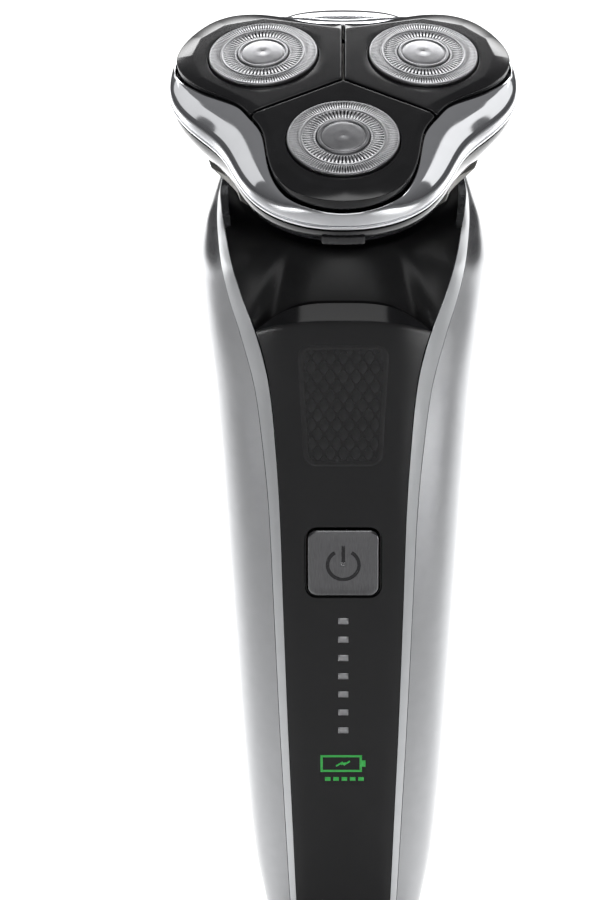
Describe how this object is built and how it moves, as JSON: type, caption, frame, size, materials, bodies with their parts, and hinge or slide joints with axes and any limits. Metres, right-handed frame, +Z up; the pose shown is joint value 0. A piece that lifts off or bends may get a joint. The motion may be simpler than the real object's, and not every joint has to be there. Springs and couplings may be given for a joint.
{
  "type": "rotary electric shaver",
  "caption": "Hand-held rotary shaver with a tilted three-cutter head on a tapered handle, with a power button, a thumb pad and a charging socket in its foot.",
  "frame": {"origin": "centre of the charging socket's mouth, in the plane of the flat foot", "axes": "+Z up the handle, the front with the button faces -Y, +X to the right seen from the front"},
  "size_m": [0.0596, 0.0603, 0.1739],
  "materials": {
    "black_gloss": "high-gloss black moulding",
    "black_satin": "fine satin black moulding",
    "chrome": "bright plated",
    "silver_plastic": "soft silver plating on plastic",
    "grip_rubber": "fine textured rubber",
    "smoked_window": "smoked window flush with the panel",
    "green_light": "green diffuser",
    "board_green": "solder mask",
    "inner_plastic": "natural moulding",
    "battery_steel": "sleeved cell",
    "nickel": "plated metal",
    "motor_steel": "drawn can",
    "button_metal": "dark plated, brushed",
    "chamber_plastic": "smoky dark grey",
    "seal_rubber": "smooth seal",
    "gear_plastic": "acetal",
    "shaving_steel": "slotted stainless steel",
    "cap_metal": "turned cap"
  },
  "bodies": {
    "handle": {"front_panel": "black_gloss", "chrome_strip_left": "chrome", "chrome_strip_right": "chrome", "side_panel_left": "silver_plastic", "side_panel_right": "silver_plastic", "rear_shell": "black_satin", "rear_grip": "grip_rubber", "neck_cover": "black_gloss", "neck_collar": "black_satin", "thumb_pad": "grip_rubber", "indicator_window": "smoked_window", "indicator_light": "green_light", "circuit_board": "board_green", "tact_switch": "inner_plastic", "battery": "battery_steel", "battery_contacts": "nickel", "motor": "motor_steel", "motor_mount": "inner_plastic", "motor_screws": "nickel", "chassis": "inner_plastic", "chassis_screws": "nickel", "base_cap": "black_satin", "charging_socket": "black_satin", "charging_contacts": "nickel"},
    "power_button": {"power_button": "button_metal"},
    "drive_shaft": {"drive_shaft": "nickel"},
    "shaving_head": {"hair_chamber": "chamber_plastic", "gear_plate": "inner_plastic", "gear_cover": "chamber_plastic", "spigot_seal": "seal_rubber", "hinge_pin": "nickel"},
    "release_button": {"release_button": "chamber_plastic"},
    "central_gear": {"central_gear": "gear_plastic"},
    "head_top": {"bezel": "chrome", "cutter_frame": "inner_plastic"},
    "lock_knob": {"lock_knob": "chamber_plastic"},
    "spindle_front": {"driven_gear_front": "gear_plastic", "spindle_front": "nickel"},
    "plate_unit_front": {"plate_front": "black_gloss", "guard_front": "shaving_steel", "guard_cap_front": "cap_metal"},
    "cutter_front": {"cutter_front": "shaving_steel"},
    "spindle_right": {"driven_gear_right": "gear_plastic", "spindle_right": "nickel"},
    "plate_unit_right": {"plate_right": "black_gloss", "guard_right": "shaving_steel", "guard_cap_right": "cap_metal"},
    "cutter_right": {"cutter_right": "shaving_steel"},
    "spindle_left": {"driven_gear_left": "gear_plastic", "spindle_left": "nickel"},
    "plate_unit_left": {"plate_left": "black_gloss", "guard_left": "shaving_steel", "guard_cap_left": "cap_metal"},
    "cutter_left": {"cutter_left": "shaving_steel"}
  },
  "joints": [
    {"name": "power_button_press", "type": "slide", "parent": "handle", "child": "power_button", "axis": [0, 1, 0], "range_m": [0, 0.0005], "stiffness_N_per_m": 1500, "springref_m": -0.0002},
    {"name": "drive_spin", "type": "hinge", "parent": "handle", "child": "drive_shaft", "pos_m": [0, 0.00114, 0.14325], "axis": [0, -0.4226, 0.9063], "continuous": true},
    {"name": "head_pull_off", "type": "slide", "parent": "handle", "child": "shaving_head", "axis": [0, -0.4226, 0.9063], "range_m": [0, 0.02]},
    {"name": "head_top_open", "type": "hinge", "parent": "shaving_head", "child": "head_top", "pos_m": [0, 0.01837, 0.16783], "axis": [-1, 0, 0], "range_deg": [0, 75]},
    {"name": "release_button_press", "type": "slide", "parent": "shaving_head", "child": "release_button", "axis": [0, 0.9063, 0.4226], "range_m": [0, 0.0008], "stiffness_N_per_m": 1000, "springref_m": -0.0002},
    {"name": "central_gear_spin", "type": "hinge", "parent": "shaving_head", "child": "central_gear", "pos_m": [0, -0.00393, 0.15412], "axis": [0, -0.4226, 0.9063], "continuous": true},
    {"name": "lock_knob_turn", "type": "hinge", "parent": "head_top", "child": "lock_knob", "pos_m": [0, -0.00604, 0.15866], "axis": [0, -0.4226, 0.9063], "range_deg": [0, 60]},
    {"name": "spindle_spin_front", "type": "hinge", "parent": "shaving_head", "child": "spindle_front", "pos_m": [0, -0.0182, 0.14747], "axis": [0, -0.4226, 0.9063], "continuous": true},
    {"name": "plate_tilt_front", "type": "hinge", "parent": "head_top", "child": "plate_unit_front", "pos_m": [0, -0.02829, 0.15313], "axis": [-1, 0, 0], "range_deg": [0, 1.5], "stiffness_Nm_per_rad": 0.15, "springref_deg": -1.72},
    {"name": "cutter_spin_front", "type": "hinge", "parent": "plate_unit_front", "child": "cutter_front", "pos_m": [0, -0.02327, 0.15834], "axis": [0, -0.4741, 0.8805], "continuous": true},
    {"name": "spindle_spin_right", "type": "hinge", "parent": "shaving_head", "child": "spindle_right", "pos_m": [0.01364, 0.00321, 0.15745], "axis": [0, -0.4226, 0.9063], "continuous": true},
    {"name": "plate_tilt_right", "type": "hinge", "parent": "head_top", "child": "plate_unit_right", "pos_m": [0.01949, 0.0023, 0.1674], "axis": [0.5, -0.7849, -0.366], "range_deg": [0, 1.5], "stiffness_Nm_per_rad": 0.15, "springref_deg": -1.72},
    {"name": "cutter_spin_right", "type": "hinge", "parent": "plate_unit_right", "child": "cutter_right", "pos_m": [0.01364, -0.00186, 0.16833], "axis": [0.0499, -0.3958, 0.917], "continuous": true},
    {"name": "spindle_spin_left", "type": "hinge", "parent": "shaving_head", "child": "spindle_left", "pos_m": [-0.01364, 0.00321, 0.15745], "axis": [0, -0.4226, 0.9063], "continuous": true},
    {"name": "plate_tilt_left", "type": "hinge", "parent": "head_top", "child": "plate_unit_left", "pos_m": [-0.01949, 0.0023, 0.1674], "axis": [0.5, 0.7849, 0.366], "range_deg": [0, 1.5], "stiffness_Nm_per_rad": 0.15, "springref_deg": -1.72},
    {"name": "cutter_spin_left", "type": "hinge", "parent": "plate_unit_left", "child": "cutter_left", "pos_m": [-0.01364, -0.00186, 0.16833], "axis": [-0.0499, -0.3958, 0.917], "continuous": true}
  ],
  "couplings": [
    {"joint": "central_gear_spin", "follows": "drive_spin", "ratio": 1},
    {"joint": "spindle_spin_front", "follows": "drive_spin", "ratio": -1.8},
    {"joint": "cutter_spin_front", "follows": "drive_spin", "ratio": -1.8},
    {"joint": "spindle_spin_right", "follows": "drive_spin", "ratio": -1.8},
    {"joint": "cutter_spin_right", "follows": "drive_spin", "ratio": -1.8},
    {"joint": "spindle_spin_left", "follows": "drive_spin", "ratio": -1.8},
    {"joint": "cutter_spin_left", "follows": "drive_spin", "ratio": -1.8}
  ]
}
